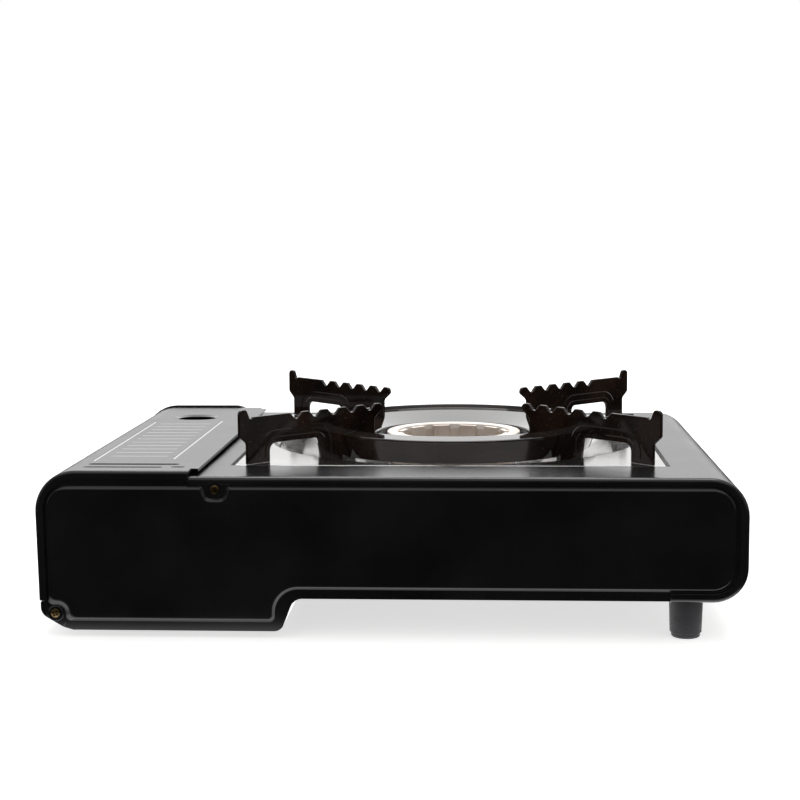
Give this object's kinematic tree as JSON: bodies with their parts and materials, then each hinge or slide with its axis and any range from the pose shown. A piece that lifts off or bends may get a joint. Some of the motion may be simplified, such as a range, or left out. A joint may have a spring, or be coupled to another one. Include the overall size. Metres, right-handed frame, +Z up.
{
  "type": "butane cassette stove",
  "caption": "Portable single-burner gas stove: low black sheet-steel body, lidded canister bay, polished drip tray, ring pan support with toothed fins.",
  "frame": {"origin": "middle of the bounding box, on the surface the feet stand on", "axes": "+X towards the fuel bay and its lid, -Y towards the knob and the user, +Z up"},
  "size_m": [0.3398, 0.272, 0.1059],
  "materials": {
    "painted_steel": "satin black powder coat",
    "black_enamel": "glossy black vitreous enamel",
    "polished_steel": "bright polished stainless steel",
    "cast_alloy": "bright cast aluminium",
    "plated_steel": "dull zinc-plated sheet steel",
    "yellow_zinc": "yellow chromated zinc",
    "brass": "turned brass",
    "ceramic": "glazed white ceramic",
    "lead_cover": "red-brown silicone lead",
    "rubber": "black moulded rubber",
    "black_plastic": "black moulded plastic",
    "dial_print": "brushed aluminium dial with dark marks"
  },
  "bodies": {
    "root": {"base_pan": "painted_steel", "top_cover": "painted_steel", "back_panel": "painted_steel", "front_panel": "painted_steel", "bay_partition": "painted_steel", "drip_tray": "polished_steel", "lid_hinge_pins": "yellow_zinc", "burner_head": "cast_alloy", "burner_bowl": "cast_alloy", "burner_bracket": "plated_steel", "mixing_tube": "plated_steel", "gas_nozzle": "brass", "heat_plate": "cast_alloy", "electrode": "ceramic", "electrode_wire": "lead_cover", "piezo_unit": "black_plastic", "regulator_body": "cast_alloy", "regulator_cap": "yellow_zinc", "locating_ring": "plated_steel", "inlet_seal": "rubber", "control_fascia": "black_plastic", "dial_plate": "dial_print", "lever_guide": "black_plastic", "canister_cradle": "plated_steel", "rear_spring": "plated_steel", "tall_foot_back": "rubber", "tall_foot_front": "rubber", "low_foot_back": "rubber", "low_foot_front": "rubber", "panel_screws": "yellow_zinc", "regulator_screws": "yellow_zinc", "burner_screws": "yellow_zinc"},
    "lid": {"lid": "painted_steel"},
    "knob": {"control_knob": "black_plastic", "valve_spindle": "brass"},
    "lever": {"cartridge_lever": "black_plastic", "lever_cam": "plated_steel"},
    "hook": {"cartridge_hook": "plated_steel"},
    "pan_support": {"pan_ring": "black_enamel", "fin_back_bay": "black_enamel", "fin_back_side": "black_enamel", "fin_front_bay": "black_enamel", "fin_front_side": "black_enamel"}
  },
  "joints": [
    {"name": "lid_hinge", "type": "hinge", "parent": "root", "child": "lid", "pos_m": [0.1682, 0.009, 0.016], "axis": [0, 1, 0], "range_deg": [0, 95]},
    {"name": "knob_turn", "type": "hinge", "parent": "root", "child": "knob", "pos_m": [0.13265, -0.12, 0.0415], "axis": [0, -1, 0], "range_deg": [0, 110]},
    {"name": "lever_slide", "type": "slide", "parent": "root", "child": "lever", "axis": [0, 0, -1], "range_m": [0, 0.014]},
    {"name": "hook_slide", "type": "slide", "parent": "root", "child": "hook", "axis": [0, -1, 0], "range_m": [0, 0.005]},
    {"name": "support_lift", "type": "slide", "parent": "root", "child": "pan_support", "axis": [0, 0, 1], "range_m": [0, 0.08]}
  ],
  "couplings": [
    {"joint": "hook_slide", "follows": "lever_slide", "ratio": 0.35714}
  ]
}
